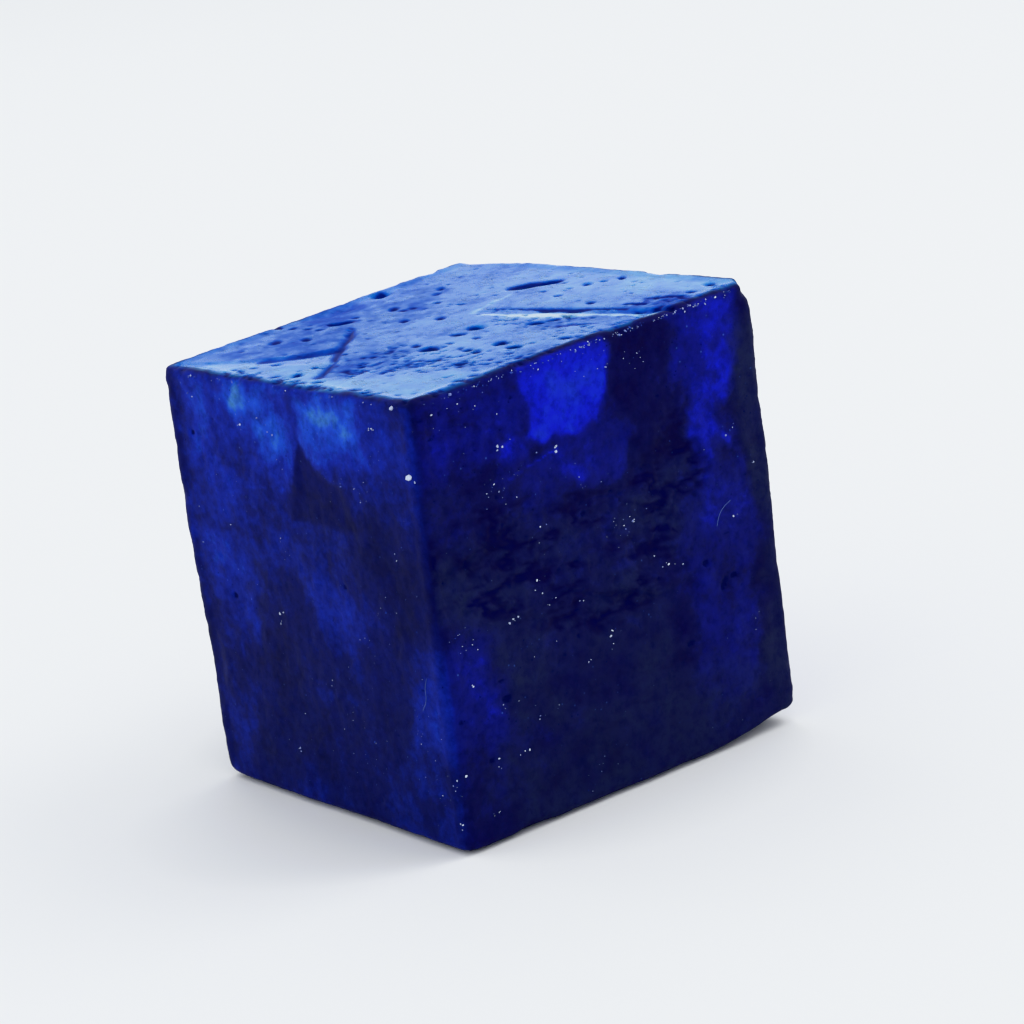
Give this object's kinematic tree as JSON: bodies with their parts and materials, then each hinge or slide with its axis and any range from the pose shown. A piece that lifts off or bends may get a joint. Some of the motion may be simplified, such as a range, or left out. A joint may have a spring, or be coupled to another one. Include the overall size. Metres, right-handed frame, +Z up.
{
  "type": "rough tanzanite crystal",
  "caption": "Blocky rough crystal fragment, deep blue, with a ledged and pitted top, scarred sides, worn edges and a flat base to stand on.",
  "frame": {"origin": "middle of the flat base, on the surface the stone stands on", "axes": "+Z up; -Y out of the front side, +X out of the right side, the two sides that meet at the near upright edge"},
  "size_m": [0.0098, 0.0097, 0.0104],
  "materials": {
    "tanzanite": "satin"
  },
  "bodies": {
    "root": {"stone": "tanzanite"}
  },
  "joints": []
}
